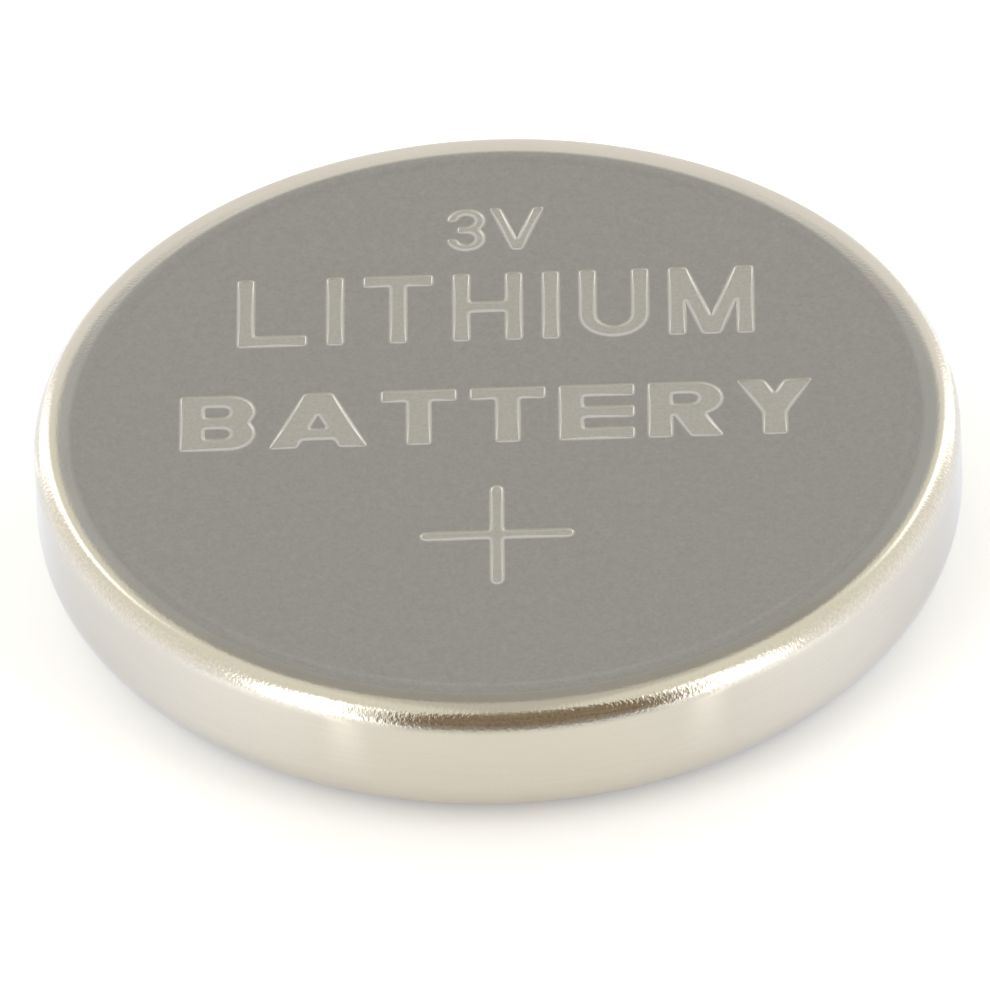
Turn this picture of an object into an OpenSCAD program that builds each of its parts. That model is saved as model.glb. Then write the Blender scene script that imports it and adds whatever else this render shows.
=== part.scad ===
// Lithium coin cell, 20 mm across and 3.2 mm thick, lying on its negative cap.
// The axis of the cell is Z, the positive face is up, and the marks read from -Y.
// Every round piece is one profile, drawn with x as the radius and y as the height,
// and turned about the axis.

/* [Cell] */
// Diameter over the positive can
cell_d = 20; // [19:0.1:25]
// Height from the negative face to the positive face
cell_h = 3.2; // [3:0.1:5.4]

/* [Positive can] */
// Sheet thickness of the can
can_t = 0.25; // [0.2:0.01:0.3]
// Outer radius of the corner between the positive face and the wall
can_corner_r = 0.5; // [0.35:0.01:0.8]
// Outer radius of the rim where it is crimped over the seal
crimp_r = 1.1; // [0.9:0.05:1.2]
// How far the negative face stands below the crimped rim
cap_proud = 0.2; // [0.1:0.01:0.3]

/* [Negative cap] */
// Sheet thickness of the cap
cap_t = 0.25; // [0.2:0.01:0.3]
// Distance from the outside of the can to the side of the cap
rim_w = 1.15; // [1.1:0.01:1.25]
// Outer radius of the corner between the negative face and the side of the cap
cap_corner_r = 0.4; // [0.3:0.01:0.45]
// Outer radius of the bend between the shoulder and the skirt
cap_bend_r = 0.3; // [0.3:0.01:0.35]
// Radius of the inside bend between the side and the shoulder
cap_fillet_r = 0.1; // [0.05:0.01:0.12]

/* [Gasket] */
// Thickness of the gasket between the can and the skirt of the cap
gasket_t = 0.4; // [0.35:0.01:0.45]
// Thickness of the gasket between the crimped rim and the shoulder of the cap
gasket_lip_t = 0.35; // [0.3:0.01:0.4]
// Thickness of the foot that carries the skirt of the cap
gasket_foot_t = 0.4; // [0.3:0.01:0.5]
// Width of the foot, from the wall of the can inwards
gasket_foot_w = 1.25; // [1:0.05:1.4]
// Width of gasket that shows between the crimped rim and the cap
gasket_show_w = 0.2; // [0.15:0.01:0.25]
// Depth of that gasket below the rim's lowest point
gasket_recess = 0.05; // [0:0.01:0.1]
// Clearance on each side of the gasket, filled by the sealant film
seal_gap = 0.01; // [0.005:0.005:0.02]

/* [Electrodes] */
// Thickness of the lithium disc
lithium_t = 0.6; // [0.4:0.05:0.7]
// Gap between the lithium disc and the side of the cap
lithium_gap = 0.6; // [0.3:0.05:1]
// Thickness of the separator
separator_t = 0.2; // [0.15:0.01:0.25]
// Gap between the separator and the side of the cap
separator_gap = 0.1; // [0.05:0.01:0.2]
// Gap between the cathode ring and the foot of the gasket
ring_gap = 0.3; // [0.1:0.05:0.5]
// Sheet thickness of the cathode ring
ring_t = 0.2; // [0.15:0.01:0.25]
// Height of the cathode ring
ring_h = 0.9; // [0.6:0.05:1.1]
// Width of the cathode ring's lip on the can
ring_lip_w = 0.8; // [0.5:0.05:1.2]

/* [Marks] */
// Depth of the marks stamped into the positive face
mark_depth = 0.02; // [0.01:0.005:0.08]
// Length of each bar of the plus sign
plus_len = 3.32; // [2.4:0.02:3.6]
// Width of each bar of the plus sign
plus_w = 0.28; // [0.16:0.01:0.4]
// Distance of the plus sign from the axis
plus_off = 3.9; // [3.7:0.05:4.6]
// Height of the voltage mark
volt_h = 1.45; // [1.1:0.05:1.6]
// Width of the figure in the voltage mark
figure_w = 0.86; // [0.8:0.01:0.95]
// Width of the letter in the voltage mark
volt_letter_w = 1.18; // [1:0.01:1.3]
// Stroke of the voltage mark
volt_w = 0.21; // [0.16:0.01:0.24]
// Distance of the voltage mark's base line from the axis
volt_off = 5.8; // [5.6:0.05:6.2]
// Gap between the two signs of the voltage mark
volt_gap = 0.1; // [0.05:0.01:0.2]
// Height of the upper word
upper_h = 2.3; // [1.8:0.05:2.6]
// Width of a letter of the upper word
upper_letter_w = 1.5; // [1.3:0.02:1.6]
// Stroke of the upper word
upper_w = 0.36; // [0.28:0.01:0.44]
// Gap between the letters of the upper word
upper_gap = 0.44; // [0.3:0.01:0.5]
// Distance of the upper word's base line from the axis
upper_off = 2.7; // [2.4:0.05:2.9]
// Extra width of the broad letter of the upper word
broad_extra = 0.34; // [0.2:0.01:0.4]
// Height of the lower word
lower_h = 1.84; // [1.6:0.02:2]
// Width of a letter of the lower word
lower_letter_w = 1.62; // [1.5:0.01:1.7]
// Upright stroke of the lower word
lower_w = 0.52; // [0.4:0.01:0.56]
// Level stroke of the lower word
lower_bar_w = 0.38; // [0.28:0.01:0.4]
// Gap between the letters of the lower word
lower_gap = 0.3; // [0.24:0.01:0.4]
// Distance of the lower word's base line from the axis
lower_off = 0.78; // [0.6:0.02:1]
// Extra width of the broad letter of the lower word
wide_extra = 0.5; // [0.3:0.01:0.6]

/* [Hidden] */
$fn = 160;
can_r = cell_d / 2;
can_inner_r = can_r - can_t;
ceiling_z = cell_h - can_t;
rim_z = cap_proud;
cap_r = can_r - rim_w;
cap_inner_r = cap_r - cap_t;
mouth_r = cap_r + gasket_show_w;
skirt_r = can_inner_r - gasket_t;
shoulder_z = rim_z + can_t + gasket_lip_t;
skirt_z = ceiling_z - gasket_foot_t;
foot_r = can_inner_r - gasket_foot_w;
ring_r = foot_r - ring_gap;
pellet_r = ring_r - ring_t;
ring_lip_r = ring_r - ring_lip_w;
lithium_z = cap_t;
separator_z = lithium_z + lithium_t;
pellet_z = separator_z + separator_t;
// How far a cutting shape passes the face that it cuts
over = 1;
// Height of a letter's middle bar, as a share of the letter
waist = 0.5;
// Height of the crossbar of the letter A, as a share of the letter
a_bar = 0.14;
// Height of the fork of the letter Y, as a share of the letter
y_fork = 0.4;
// Length of the figure's middle arm, as a share of the radius of its bowls
figure_arm = 0.45;

// Sum of the first n values of a list
function sum_to(v, n) = n <= 0 ? 0 : v[n - 1] + sum_to(v, n - 1);
// Level width of a stroke that runs sideways by dx over a height dy
function slant_w(s, dx, dy) = s * sqrt(1 + pow(dx / dy, 2));

// Half section of all that lies within the can's outer surface moved inwards
module can_fill(inset) {
    corner_x = can_r - can_corner_r;
    corner_y = cell_h - can_corner_r;
    crimp_x = can_r - crimp_r;
    crimp_y = rim_z + crimp_r;
    translate([0, crimp_y]) square([can_r - inset, corner_y - crimp_y]);
    translate([0, corner_y]) square([corner_x, can_corner_r - inset]);
    translate([0, rim_z + inset]) square([crimp_x, crimp_r - inset]);
    translate([corner_x, corner_y]) circle(can_corner_r - inset);
    translate([crimp_x, crimp_y]) circle(crimp_r - inset);
}

// Half section of all that lies within the cap's outer surface moved inwards, up to a height
module cap_fill(inset, top) {
    side_x = cap_r - inset;
    step_y = shoulder_z + inset;
    corner_x = cap_r - cap_corner_r;
    bend_x = skirt_r - cap_bend_r;
    bend_y = shoulder_z + cap_bend_r;
    translate([0, inset]) square([corner_x, cap_corner_r - inset]);
    translate([0, cap_corner_r]) square([side_x, top - cap_corner_r]);
    translate([corner_x, cap_corner_r]) circle(cap_corner_r - inset);
    translate([0, step_y]) square([bend_x, top - step_y]);
    translate([0, bend_y]) square([skirt_r - inset, top - bend_y]);
    translate([bend_x, bend_y]) circle(cap_bend_r - inset);
    difference() {
        translate([side_x, shoulder_z - cap_fillet_r])
            square([cap_fillet_r + inset, cap_fillet_r + inset]);
        translate([cap_r + cap_fillet_r, shoulder_z - cap_fillet_r]) circle(cap_fillet_r + inset);
    }
}

// One bar of the plus sign, with round ends
module plus_bar() {
    reach = (plus_len - plus_w) / 2;
    translate([-reach, -plus_w / 2]) square([2 * reach, plus_w]);
    for (side = [-1, 1])
        translate([side * reach, 0]) circle(plus_w / 2);
}

module plus_sign() {
    plus_bar();
    rotate(90) plus_bar();
}

// A sloping stroke that starts at x0 at the bottom and at x1 at the top, k wide on the level
module slant(x0, x1, y0, y1, k) {
    polygon([[x0, y0], [x0 + k, y0], [x1 + k, y1], [x1, y1]]);
}

// The outline of a bowl: flat on the left, half round on the right
module bowl_fill(x0, x1, y0, y1) {
    r = (y1 - y0) / 2;
    translate([x0, y0]) square([x1 - r - x0, y1 - y0]);
    intersection() {
        translate([x1 - r, y0 + r]) circle(r);
        translate([x1 - r, y0]) square([r, y1 - y0]);
    }
}

// A closed bowl with an upright of width s and level strokes of width b
module bowl(w, y0, y1, s, b) {
    difference() {
        bowl_fill(0, w, y0, y1);
        bowl_fill(s, w - s, y0 + b, y1 - b);
    }
}

module letter_a(w, h, s, b) {
    k = slant_w(s, w / 2, h);
    slope = (w - k) / 2 / h;
    bar_y = a_bar * h;
    slant(0, (w - k) / 2, 0, h, k);
    slant(w - k, (w - k) / 2, 0, h, k);
    translate([k / 2 + slope * bar_y, bar_y]) square([w - k - 2 * slope * bar_y, b]);
}

module letter_b(w, h, s, b) {
    bowl(w, 0, (h + b) / 2, s, b);
    bowl(w, (h - b) / 2, h, s, b);
}

module letter_e(w, h, s, b) {
    square([s, h]);
    for (y = [0, waist * (h - b), h - b])
        translate([0, y]) square([w, b]);
}

module letter_h(w, h, s, b) {
    square([s, h]);
    translate([w - s, 0]) square([s, h]);
    translate([0, waist * (h - b)]) square([w, b]);
}

module letter_i(h, s) {
    square([s, h]);
}

module letter_l(w, h, s, b) {
    square([s, h]);
    square([w, b]);
}

module letter_m(w, h, s) {
    k = slant_w(s, w / 2, h);
    square([s, h]);
    translate([w - s, 0]) square([s, h]);
    slant((w - k) / 2, 0, 0, h, k);
    slant((w - k) / 2, w - k, 0, h, k);
}

module letter_r(w, h, s, b) {
    k = slant_w(s, w / 2, h / 2);
    square([s, h]);
    bowl(w, (h - b) / 2, h, s, b);
    slant(w - k, (w - k) / 2, 0, h / 2, k);
}

module letter_t(w, h, s, b) {
    translate([(w - s) / 2, 0]) square([s, h]);
    translate([0, h - b]) square([w, b]);
}

module letter_u(w, h, s, b) {
    inner = w / 2 - s;
    difference() {
        union() {
            translate([0, w / 2]) square([w, h - w / 2]);
            translate([w / 2, w / 2]) circle(w / 2);
        }
        translate([s, b + inner]) square([2 * inner, h]);
        translate([w / 2, b + inner]) circle(inner);
    }
}

module letter_v(w, h, s) {
    k = slant_w(s, w / 2, h);
    slant((w - k) / 2, 0, 0, h, k);
    slant((w - k) / 2, w - k, 0, h, k);
}

module letter_y(w, h, s) {
    fork = y_fork * h;
    arm = (w - s) / 2;
    k = slant_w(s, arm, h - fork);
    crotch = fork + (h - fork) * (k - s / 2) / arm;
    polygon([[arm, 0], [arm + s, 0], [arm + s, fork], [w, h], [w - k, h], [w / 2, crotch],
             [k, h], [0, h], [arm, fork]]);
}

// One bowl of the figure: a ring with one quarter left out, and an arm at its end
module figure_bowl(w, r, s) {
    difference() {
        translate([w - r, r]) circle(r);
        translate([w - r, r]) circle(r - s);
        translate([w - r - over, r]) square([over, over]);
    }
    translate([w - r * (1 + figure_arm), 2 * r - s]) square([r * figure_arm, s]);
}

module figure_three(w, h, s) {
    r = (h + s) / 4;
    figure_bowl(w, r, s);
    translate([0, h]) mirror([0, 1]) figure_bowl(w, r, s);
}

// Letters side by side, centred on the axis
module word(widths, gap, base_y) {
    n = len(widths);
    total = sum_to(widths, n) + gap * (n - 1);
    for (i = [0:n - 1])
        translate([sum_to(widths, i) + gap * i - total / 2, base_y]) children(i);
}

module voltage_mark() {
    word([figure_w, volt_letter_w], volt_gap, volt_off) {
        figure_three(figure_w, volt_h, volt_w);
        letter_v(volt_letter_w, volt_h, volt_w);
    }
}

// A plain word for the metal in the cell
module upper_word() {
    w = upper_letter_w;
    broad = w + broad_extra;
    word([w, upper_w, w, w, upper_w, w, broad], upper_gap, upper_off) {
        letter_l(w, upper_h, upper_w, upper_w);
        letter_i(upper_h, upper_w);
        letter_t(w, upper_h, upper_w, upper_w);
        letter_h(w, upper_h, upper_w, upper_w);
        letter_i(upper_h, upper_w);
        letter_u(w, upper_h, upper_w, upper_w);
        letter_m(broad, upper_h, upper_w);
    }
}

// A plain word for what the object is
module lower_word() {
    w = lower_letter_w;
    wide = w + wide_extra;
    word([w, wide, w, w, w, w, w], lower_gap, -lower_off) {
        letter_b(w, lower_h, lower_w, lower_bar_w);
        letter_a(wide, lower_h, lower_w, lower_bar_w);
        letter_t(w, lower_h, lower_w, lower_bar_w);
        letter_t(w, lower_h, lower_w, lower_bar_w);
        letter_e(w, lower_h, lower_w, lower_bar_w);
        letter_r(w, lower_h, lower_w, lower_bar_w);
        letter_y(w, lower_h, lower_w);
    }
}

module marks() {
    translate([0, 0, cell_h - mark_depth]) linear_extrude(mark_depth + over) {
        translate([0, -plus_off]) plus_sign();
        voltage_mark();
        upper_word();
        lower_word();
    }
}

// The stamped cup that is the positive pole, crimped in at its mouth
module positive_can() {
    color([0.72, 0.71, 0.67]) difference() {
        rotate_extrude() difference() {
            intersection() {
                can_fill(0);
                square([can_r, cell_h]);
            }
            can_fill(can_t);
            square([mouth_r, rim_z + can_t + over / 2]);
        }
        marks();
    }
}

// The stepped lid that is the negative pole
module negative_cap() {
    color([0.75, 0.74, 0.71]) rotate_extrude() difference() {
        intersection() {
            cap_fill(0, skirt_z - seal_gap);
            square([can_r, cell_h]);
        }
        cap_fill(cap_t, cell_h);
    }
}

// The plastic ring between the two poles
module gasket() {
    color([0.2, 0.2, 0.2]) rotate_extrude() difference() {
        union() {
            intersection() {
                can_fill(can_t + seal_gap);
                translate([foot_r, 0]) square([can_r, cell_h]);
            }
            translate([cap_r, rim_z + gasket_recess])
                square([gasket_show_w - seal_gap, can_t]);
        }
        cap_fill(-seal_gap, skirt_z);
    }
}

// The pressed tablet of the positive electrode
module cathode_pellet() {
    color([0.1, 0.1, 0.11]) difference() {
        translate([0, 0, pellet_z]) cylinder(r = pellet_r, h = ceiling_z - pellet_z);
        translate([0, 0, ceiling_z - ring_t]) difference() {
            cylinder(r = pellet_r + over, h = ring_t + over);
            translate([0, 0, -over]) cylinder(r = ring_lip_r, h = ring_t + 3 * over);
        }
    }
}

// The angle ring that holds the tablet and carries its current to the can
module cathode_ring() {
    color([0.62, 0.62, 0.61]) rotate_extrude() {
        translate([pellet_r, ceiling_z - ring_h]) square([ring_t, ring_h]);
        translate([ring_lip_r, ceiling_z - ring_t]) square([ring_lip_w, ring_t]);
    }
}

module separator() {
    color([0.9, 0.9, 0.87]) translate([0, 0, separator_z])
        cylinder(r = cap_inner_r - separator_gap, h = separator_t);
}

module lithium_disc() {
    color([0.7, 0.7, 0.72]) translate([0, 0, lithium_z])
        cylinder(r = cap_inner_r - lithium_gap, h = lithium_t);
}

positive_can();
negative_cap();
gasket();
cathode_pellet();
cathode_ring();
separator();
lithium_disc();
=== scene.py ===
"""A round lithium coin cell: satin face with stamped marks, polished rim, seal, and the pieces inside.

Lengths are in millimetres until a mesh is written, and Z is the cell's axis with the positive face up.
"""

import logging
import math
from dataclasses import dataclass, field
from enum import Enum

import bpy
import numpy as np
from mathutils import Matrix, Vector
from mathutils.geometry import delaunay_2d_cdt


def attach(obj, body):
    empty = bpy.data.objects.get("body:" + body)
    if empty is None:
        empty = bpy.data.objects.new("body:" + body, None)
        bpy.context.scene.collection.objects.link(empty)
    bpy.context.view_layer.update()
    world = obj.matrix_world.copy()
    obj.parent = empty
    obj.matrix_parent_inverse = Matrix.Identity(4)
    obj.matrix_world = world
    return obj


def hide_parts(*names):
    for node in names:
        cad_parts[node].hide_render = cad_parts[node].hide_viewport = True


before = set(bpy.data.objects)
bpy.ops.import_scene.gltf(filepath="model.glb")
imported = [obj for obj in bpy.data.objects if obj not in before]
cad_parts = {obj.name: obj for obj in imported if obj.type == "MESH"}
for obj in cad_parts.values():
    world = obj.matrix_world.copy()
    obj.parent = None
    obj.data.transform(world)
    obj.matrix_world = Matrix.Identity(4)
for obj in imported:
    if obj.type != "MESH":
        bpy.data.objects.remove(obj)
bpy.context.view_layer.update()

logging.basicConfig(level=logging.INFO, format="%(message)s")
log = logging.getLogger("coin_cell")

MM = 0.001
CELL_RADIUS = 10.0
CELL_HEIGHT = 3.2
SHEET = 0.25
TURN_STEPS = 360
TURN = np.arange(TURN_STEPS) * 2 * np.pi / TURN_STEPS
LEAST_ARC_POINTS = 6
ARC_POINTS_PER_RADIAN = 14
SAME_HEIGHT = 0.001
WELD_STEPS_PER_MM = 1e6
SAME_CORNER = 1e-7
ONLY_INSIDE = 1


# Surfaces


@dataclass
class Surface:
    """A mesh in the making: points in millimetres and faces, whose normals point out of the metal.

    Frost is 1 where the stamping left the metal matt, and smooth says whether faces are shaded round.
    """

    points: np.ndarray
    quads: np.ndarray = field(default_factory=lambda: np.zeros((0, 4), int))
    triangles: np.ndarray = field(default_factory=lambda: np.zeros((0, 3), int))
    frost: np.ndarray | float = 0.0
    smooth: bool = True

    def volume(self) -> float:
        """The volume in cubic millimetres, which is above zero where the faces point outwards."""
        corners = np.concatenate([self.triangles, self.quads[:, [0, 1, 2]], self.quads[:, [0, 2, 3]]])
        a, b, c = (self.points[corners[:, k]] for k in range(3))
        return float(np.einsum("ij,ij->i", a, np.cross(b, c)).sum() / 6)


def weld(surfaces: list[Surface]) -> tuple[Surface, np.ndarray]:
    """Joins surfaces that share edge points into one.

    Points that are the same when rounded to a fine grid become one.

    Args:
        surfaces: The surfaces to join.

    Returns:
        The joined surface, and for each of its faces, triangles first, whether it is smooth.
    """
    points = np.concatenate([s.points for s in surfaces])
    frost = np.concatenate([np.broadcast_to(s.frost, len(s.points)) for s in surfaces])
    starts = np.cumsum([0] + [len(s.points) for s in surfaces])
    _, first, index = np.unique(np.round(points * WELD_STEPS_PER_MM).astype(np.int64), axis=0,
                                return_index=True, return_inverse=True)
    index = index.reshape(-1)
    triangles = index[np.concatenate([s.triangles + n for s, n in zip(surfaces, starts)])]
    quads = index[np.concatenate([s.quads + n for s, n in zip(surfaces, starts)])]
    smooth = np.concatenate([np.full(len(s.triangles), s.smooth) for s in surfaces]
                            + [np.full(len(s.quads), s.smooth) for s in surfaces])
    return Surface(points[first], quads, triangles, frost[first]), smooth


def rounded(corners: list[tuple[float, float, float]], closed: bool = False) -> np.ndarray:
    """A profile of straight lines whose corners are rounded by arcs that touch both lines.

    An arc of radius q starts q times the tangent of half the turn before its corner. Its centre lies q to
    the inner side of the first line there, and its points are the centre plus q turned step by step.

    Args:
        corners: Radius from the axis, height and corner radius of each corner in turn.
        closed: Whether the last corner joins the first.

    Returns:
        The profile's points, as rows of radius and height.
    """
    spots = np.array([c[:2] for c in corners], float)
    parts = []
    for i, (r, z, q) in enumerate(corners):
        if q == 0 or (not closed and i in (0, len(corners) - 1)):
            parts.append([[r, z]])
            continue
        before = spots[i] - spots[i - 1]
        after = spots[(i + 1) % len(corners)] - spots[i]
        before, after = before / np.linalg.norm(before), after / np.linalg.norm(after)
        turn = math.atan2(before[0] * after[1] - before[1] * after[0], before @ after)
        side = math.copysign(1, turn) * np.array([-before[1], before[0]])
        centre = spots[i] - before * q * math.tan(abs(turn) / 2) + side * q
        count = max(LEAST_ARC_POINTS, round(abs(turn) * ARC_POINTS_PER_RADIAN))
        angle = np.linspace(0, turn, count)
        arm = -side * q
        parts.append(centre + np.stack([arm[0] * np.cos(angle) - arm[1] * np.sin(angle),
                                        arm[0] * np.sin(angle) + arm[1] * np.cos(angle)], 1))
    return np.concatenate(parts)


def arc(centre: tuple[float, float], radius: float, angles: np.ndarray) -> np.ndarray:
    """Points at angles from straight down towards the rim: the centre plus the radius, turned by each."""
    return np.column_stack([centre[0] + radius * np.sin(angles), centre[1] - radius * np.cos(angles)])


def guarded(profile: np.ndarray, gap: float = 0.02, long: float = 0.1, closed: bool = False) -> np.ndarray:
    """Adds a point close to both ends of each long straight piece, so that flat parts are shaded flat.

    Args:
        profile: Rows of radius and height.
        gap: Distance of an added point from its end.
        long: Length from which a straight piece counts as long.
        closed: Whether the last point joins the first.

    Returns:
        The profile with the added points.
    """
    ends = np.roll(profile, -1, 0) if closed else np.vstack([profile[1:], profile[-1:]])
    step = ends - profile
    length = np.linalg.norm(step, axis=1)
    share = np.where(length > long, gap / np.maximum(length, gap), np.nan)[:, None]
    rows = np.stack([profile, profile + step * share, profile + step * (1 - share)], 1).reshape(-1, 2)
    return rows[~np.isnan(rows[:, 0])]


def net(rows: int, columns: int, closed: bool = False) -> np.ndarray:
    """The quads of a grid of points, numbered row by row, in which each row goes round.

    Args:
        rows: How many rows of points there are.
        columns: Points in a row.
        closed: Whether the last row joins the first.

    Returns:
        The four corners of each quad: a point, the one below it, the one beside that, and back up.
    """
    i, j = np.meshgrid(np.arange(rows if closed else rows - 1), np.arange(columns), indexing="ij")
    below, beside = (i + 1) % rows, (j + 1) % columns
    return np.stack([i * columns + j, below * columns + j,
                     below * columns + beside, i * columns + beside], -1).reshape(-1, 4)


def lathe(profile: np.ndarray, closed: bool = False) -> Surface:
    """A surface of revolution, with one point where the profile meets the axis.

    Point (i, j) is at radius r(i) and height z(i), turned about Z by j steps. The profile runs from the
    top outwards and down, so the faces point outwards.

    Args:
        profile: Rows of radius and height.
        closed: Whether the last profile point joins the first.

    Returns:
        The surface.
    """
    grid = np.empty((len(profile), TURN_STEPS, 3))
    grid[..., 0] = profile[:, :1] * np.cos(TURN)
    grid[..., 1] = profile[:, :1] * np.sin(TURN)
    grid[..., 2] = profile[:, 1:]
    quads = net(len(profile), TURN_STEPS, closed)
    on_axis = np.repeat(profile[:, 0] == 0, TURN_STEPS)
    upper, lower = on_axis[quads[:, 0]], on_axis[quads[:, 1]]
    triangles = np.concatenate([quads[upper][:, [0, 1, 2]], quads[lower][:, [0, 1, 3]]])
    return Surface(grid.reshape(-1, 3), quads[~(upper | lower)], triangles)


def turned(profile: np.ndarray, closed: bool = False) -> Surface:
    """The surface of revolution of a profile with guarded ends."""
    return lathe(guarded(profile, closed=closed), closed)


def new_object(name: str, surface: Surface, material: bpy.types.Material) -> bpy.types.Object:
    """Makes an object of a surface, in metres and in one material, and links it to the scene.

    Args:
        name: The object's name.
        surface: Its points and faces, in millimetres.
        material: Its finish.

    Returns:
        The object.
    """
    mesh = bpy.data.meshes.new(name)
    mesh.from_pydata((surface.points * MM).tolist(), [], surface.triangles.tolist() + surface.quads.tolist())
    mesh.materials.append(material)
    made = bpy.data.objects.new(name, mesh)
    bpy.context.scene.collection.objects.link(made)
    return made


def new_piece(name: str, surfaces: list[Surface], node: str,
              material: bpy.types.Material) -> None:
    """Makes a piece of the cell, in place of a node of the frame.

    Args:
        name: The piece's name.
        surfaces: The surfaces that close it, in millimetres.
        node: The frame's node that it stands for.
        material: Its finish.
    """
    surface, smooth = weld(surfaces)
    piece = new_object(name, surface, material)
    mesh = piece.data
    mesh.polygons.foreach_set("use_smooth", smooth)
    frost = mesh.attributes.new("frost", "FLOAT", "POINT")
    frost.data.foreach_set("value", surface.frost.astype(np.float32))
    mesh.validate()
    mesh.update()
    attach(piece, "root")
    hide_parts(node)
    log.info("%s: %d points, %d faces, %.2f cubic mm", name, len(surface.points), len(mesh.polygons),
             surface.volume())


# The outlines of the stamped marks


def stamped_outlines(node: bpy.types.Object, floor_z: float) -> list[np.ndarray]:
    """The outlines of the stamped floors of a node of the frame, each as a closed run of points.

    A floor's triangles all lie at its height. An edge is on the outline where no other floor triangle
    runs along it the other way. Each point's successor is followed in doubling steps, which gives each
    point its outline's first point and its place on the way to it.

    Args:
        node: The frame's node.
        floor_z: Height of the floors.

    Returns:
        The outlines, with the floor on their left.
    """
    mesh = node.data
    mesh.calc_loop_triangles()
    spots = np.empty(len(mesh.vertices) * 3, np.float32)
    mesh.vertices.foreach_get("co", spots)
    corners = np.empty(len(mesh.loop_triangles) * 3, np.int32)
    mesh.loop_triangles.foreach_get("vertices", corners)
    triangles = (spots.reshape(-1, 3).astype(float) / MM)[corners.reshape(-1, 3)]
    floors = triangles[np.abs(triangles[..., 2] - floor_z).max(1) < SAME_HEIGHT][..., :2]
    area = np.cross(floors[:, 1] - floors[:, 0], floors[:, 2] - floors[:, 0])
    floors = np.where((area > 0)[:, None, None], floors, floors[:, ::-1])
    points, index = np.unique(np.round(floors.reshape(-1, 2), decimals=5), axis=0, return_inverse=True)
    index = index.reshape(-1, 3)
    start, end = index.reshape(-1), np.roll(index, -1, 1).reshape(-1)
    count = len(points)
    rim = ~np.isin(start * count + end, end * count + start)
    follower = np.full(count, -1)
    follower[start[rim]] = end[rim]
    used = np.flatnonzero(follower >= 0)
    points, follower = points[used], np.searchsorted(used, follower[used])
    first, jump = np.arange(len(used)), follower.copy()
    for _ in range(int(math.log2(len(used))) + 1):
        first, jump = np.minimum(first, first[jump]), jump[jump]
    is_first = first == np.arange(len(used))
    away, jump = np.where(is_first, 0, 1), np.where(is_first, np.arange(len(used)), follower)
    for _ in range(int(math.log2(len(used))) + 1):
        away, jump = away + away[jump], jump[jump]
    order = np.lexsort((-away, ~is_first, first))
    return np.split(points[order], np.flatnonzero(np.diff(first[order])) + 1)


def soften(outline: np.ndarray, blur: float, pace: float = 0.008, bend: float = 15.0,
           longest: float = 0.5) -> np.ndarray:
    """Rounds the corners of a closed outline, as the edge of a punch is, and picks its points anew.

    The outline is walked in equal steps as a wave of complex numbers. Each of its frequencies is damped
    by a bell curve, which is the same as a blur along the outline and leaves straight lines straight.
    Points are then kept at equal steps of the sum of all bends so far, over one bend, plus the length
    walked so far, over the longest step.

    Args:
        outline: The corners, as rows of x and y.
        blur: Width of the blur in millimetres.
        pace: Length of a step of the walk.
        bend: Bend in degrees from one kept point to the next.
        longest: Longest step between kept points.

    Returns:
        The rounded outline.
    """
    around = np.vstack([outline, outline[:1]])
    walked = np.concatenate([[0], np.cumsum(np.linalg.norm(np.diff(around, axis=0), axis=1))])
    count = math.ceil(walked[-1] / pace)
    place = np.arange(count) * walked[-1] / count
    wave = np.interp(place, walked, around[:, 0]) + 1j * np.interp(place, walked, around[:, 1])
    frequency = np.fft.fftfreq(count, walked[-1] / count)
    wave = np.fft.ifft(np.fft.fft(wave) * np.exp(-((2 * np.pi * frequency * blur) ** 2) / 2))
    step = np.roll(wave, -1) - wave
    bends = np.abs(np.angle(step / np.roll(step, 1)))
    effort = np.cumsum(bends / math.radians(bend) + np.abs(step) / longest)
    kept = math.ceil(effort[-1])
    effort = np.concatenate([[0], effort])
    at = np.interp(np.arange(kept) * effort[-1] / kept, effort, np.arange(count + 1))
    wave = np.append(wave, wave[0])
    low = at.astype(int)
    wave = wave[low] + (at - low) * (wave[low + 1] - wave[low])
    return np.column_stack([wave.real, wave.imag])


def offset(outline: np.ndarray, distances: np.ndarray, lean: float = 0.0,
           guard: float = 1.5) -> np.ndarray:
    """Rows of points beside a closed outline.

    Each point moves along the mitre of its two edges: the sum of their left normals, over one plus
    their product, times the distance. Towards the inner side of a bend, the distance is divided by one
    plus the guard times the distance over the bend's radius, so that no row folds over. The radius there
    is the least of the point's own and its neighbours'.

    Args:
        outline: The outline's points.
        distances: How far each row lies to the left.
        lean: Share by which a distance to the left grows where the left side faces +Y.
        guard: How strongly rows draw together on the inner side of a bend.

    Returns:
        Points by row and place along the outline.
    """
    into = outline - np.roll(outline, 1, 0)
    length = np.linalg.norm(into, axis=1)
    into /= length[:, None]
    normal = np.stack([-into[:, 1], into[:, 0]], 1)
    after, leaving = np.roll(normal, -1, 0), np.roll(into, -1, 0)
    mitre = (normal + after) / (1 + (normal * after).sum(1))[:, None]
    turn = np.arctan2(into[:, 0] * leaving[:, 1] - into[:, 1] * leaving[:, 0], (into * leaving).sum(1))
    curve = turn / np.minimum(length, np.roll(length, -1))
    inner = np.maximum(np.sign(distances)[:, None] * curve, 0)
    inner = np.maximum(inner, np.maximum(np.roll(inner, 1, 1), np.roll(inner, -1, 1)))
    reach = distances[:, None] / (1 + guard * inner * np.abs(distances)[:, None])
    reach = reach * (1 + lean * np.clip(mitre[:, 1], 0, 1) * (distances > 0)[:, None])
    return outline[None] + reach[..., None] * mitre[None]


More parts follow.
